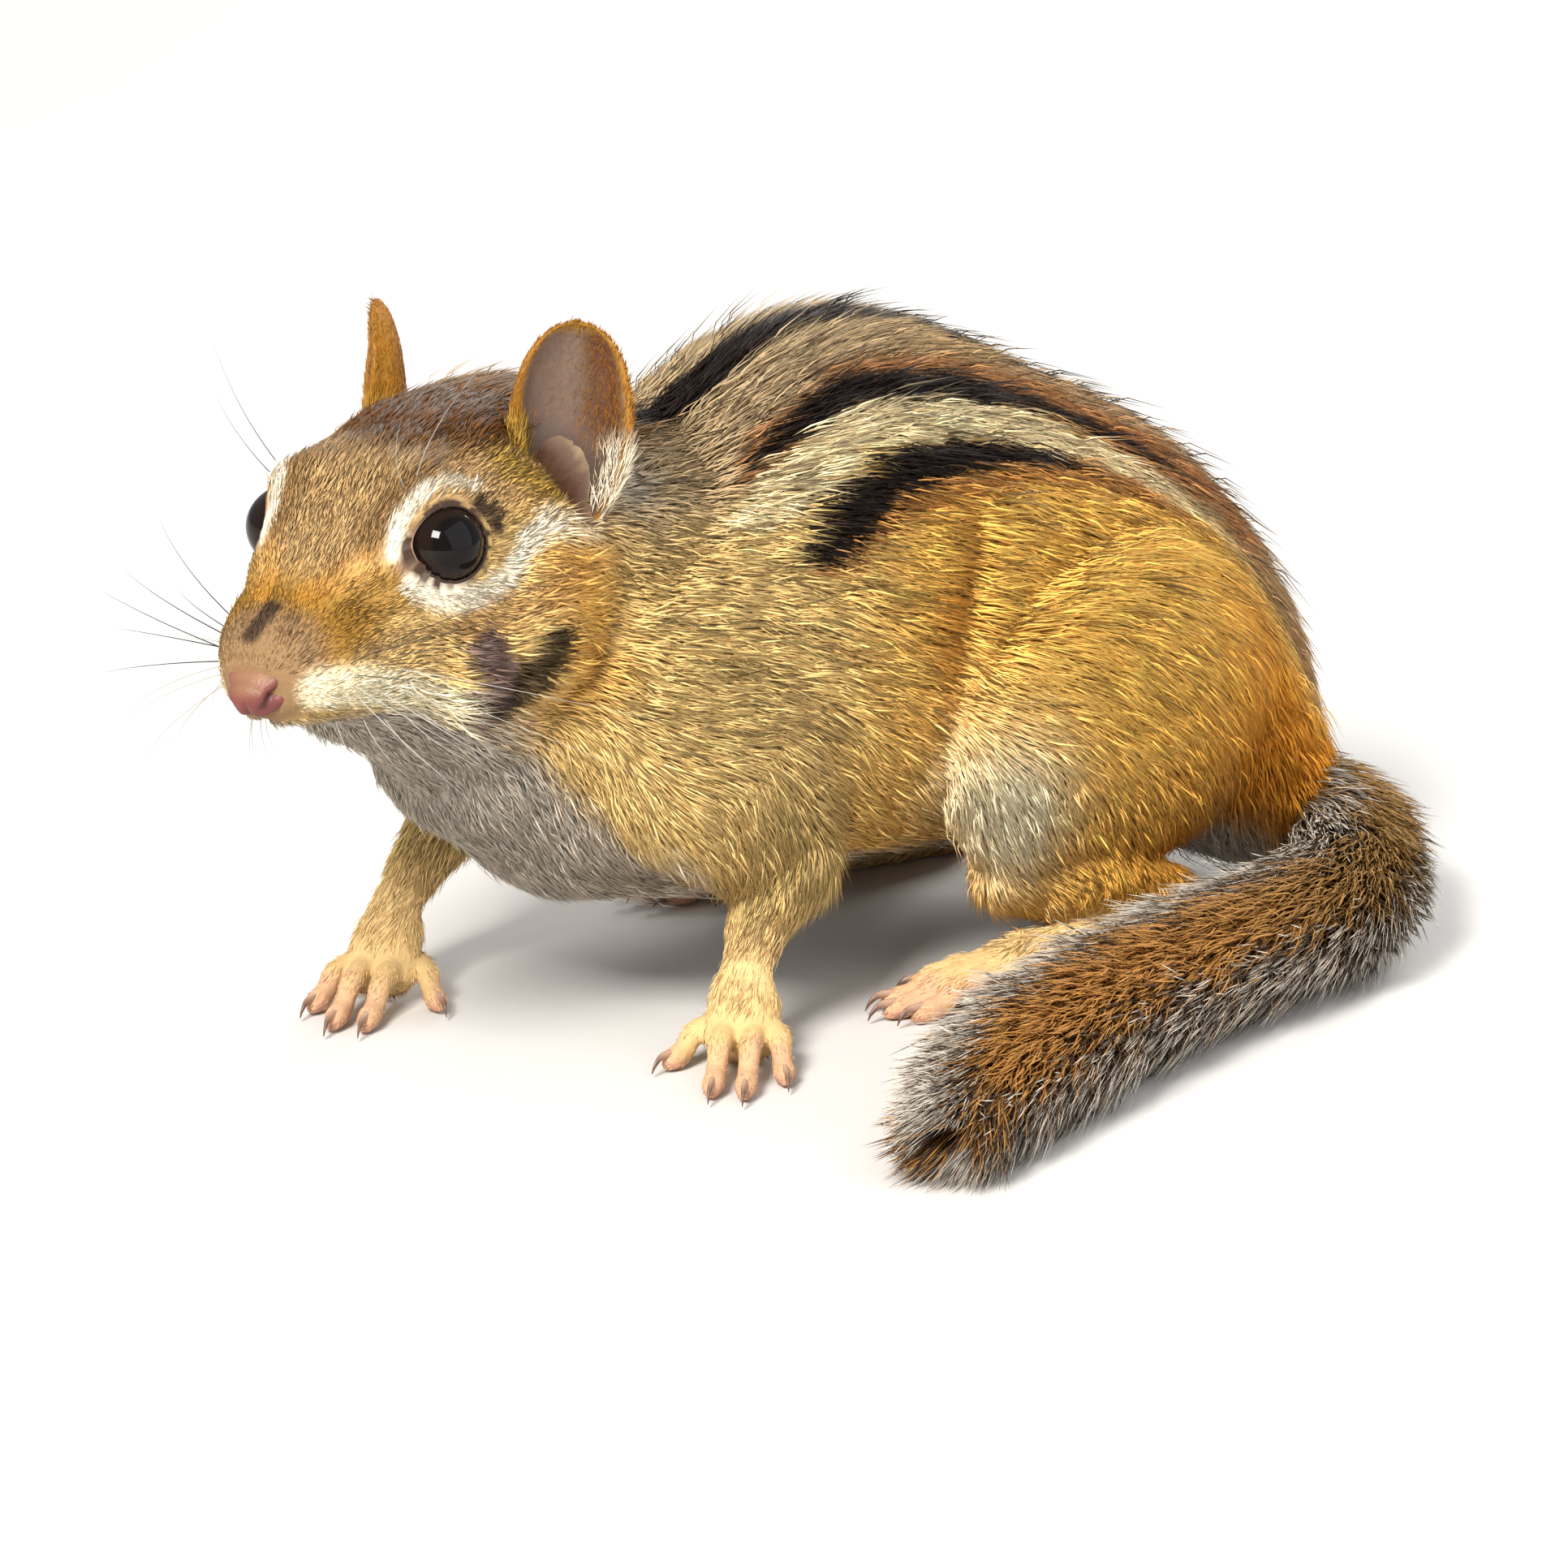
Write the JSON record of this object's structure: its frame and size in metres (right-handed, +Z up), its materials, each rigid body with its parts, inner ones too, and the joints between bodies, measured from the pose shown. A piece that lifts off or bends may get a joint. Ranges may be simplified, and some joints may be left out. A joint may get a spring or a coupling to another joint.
{
  "type": "chipmunk",
  "caption": "Life-size eastern chipmunk crouching on all fours, its head turned to its left, with rounded ears, folded haunches and a bushy tail laid round its left side.",
  "frame": {"origin": "centre of the bounding box at floor level, where the paws, hind feet and tail rest", "axes": "+Z up, -X the way the body faces, -Y the animal's left, towards which the tail is laid"},
  "size_m": [0.1316, 0.0976, 0.0705],
  "materials": {
    "head_fur": "short dense fur, reddish brown with grizzled tips",
    "nose_skin": "bare moist skin, pinkish brown",
    "eye": "wet gloss, black",
    "eyelid_skin": "bare dark skin",
    "ear_fur": "very short orange fur over thin skin",
    "neck_fur": "short dense fur, grizzled brown",
    "chest_fur": "short dense fur, grizzled buff above and white below",
    "back_fur": "short dense fur, ochre with dark and cream stripes",
    "arm_fur": "short dense fur, buff",
    "paw_skin": "thin pale fur over pink skin",
    "haunch_fur": "short dense fur, golden ochre",
    "shank_fur": "short dense fur, pale buff",
    "tail_fur": "longer coarse fur, black and ochre with pale tips"
  },
  "bodies": {
    "root": {"head": "head_fur", "nose": "nose_skin", "eye_left": "eye", "eyelids_left": "eyelid_skin", "ear_left": "ear_fur", "eye_right": "eye", "eyelids_right": "eyelid_skin", "ear_right": "ear_fur", "neck": "neck_fur", "chest": "chest_fur", "abdomen": "back_fur", "upper_arm_left": "arm_fur", "forearm_left": "arm_fur", "forepaw_left": "paw_skin", "upper_arm_right": "arm_fur", "forearm_right": "arm_fur", "forepaw_right": "paw_skin", "thigh_left": "haunch_fur", "shank_left": "shank_fur", "hind_foot_left": "paw_skin", "thigh_right": "haunch_fur", "shank_right": "shank_fur", "hind_foot_right": "paw_skin", "tail_base": "tail_fur", "tail_middle": "tail_fur", "tail_tip": "tail_fur"}
  },
  "joints": []
}
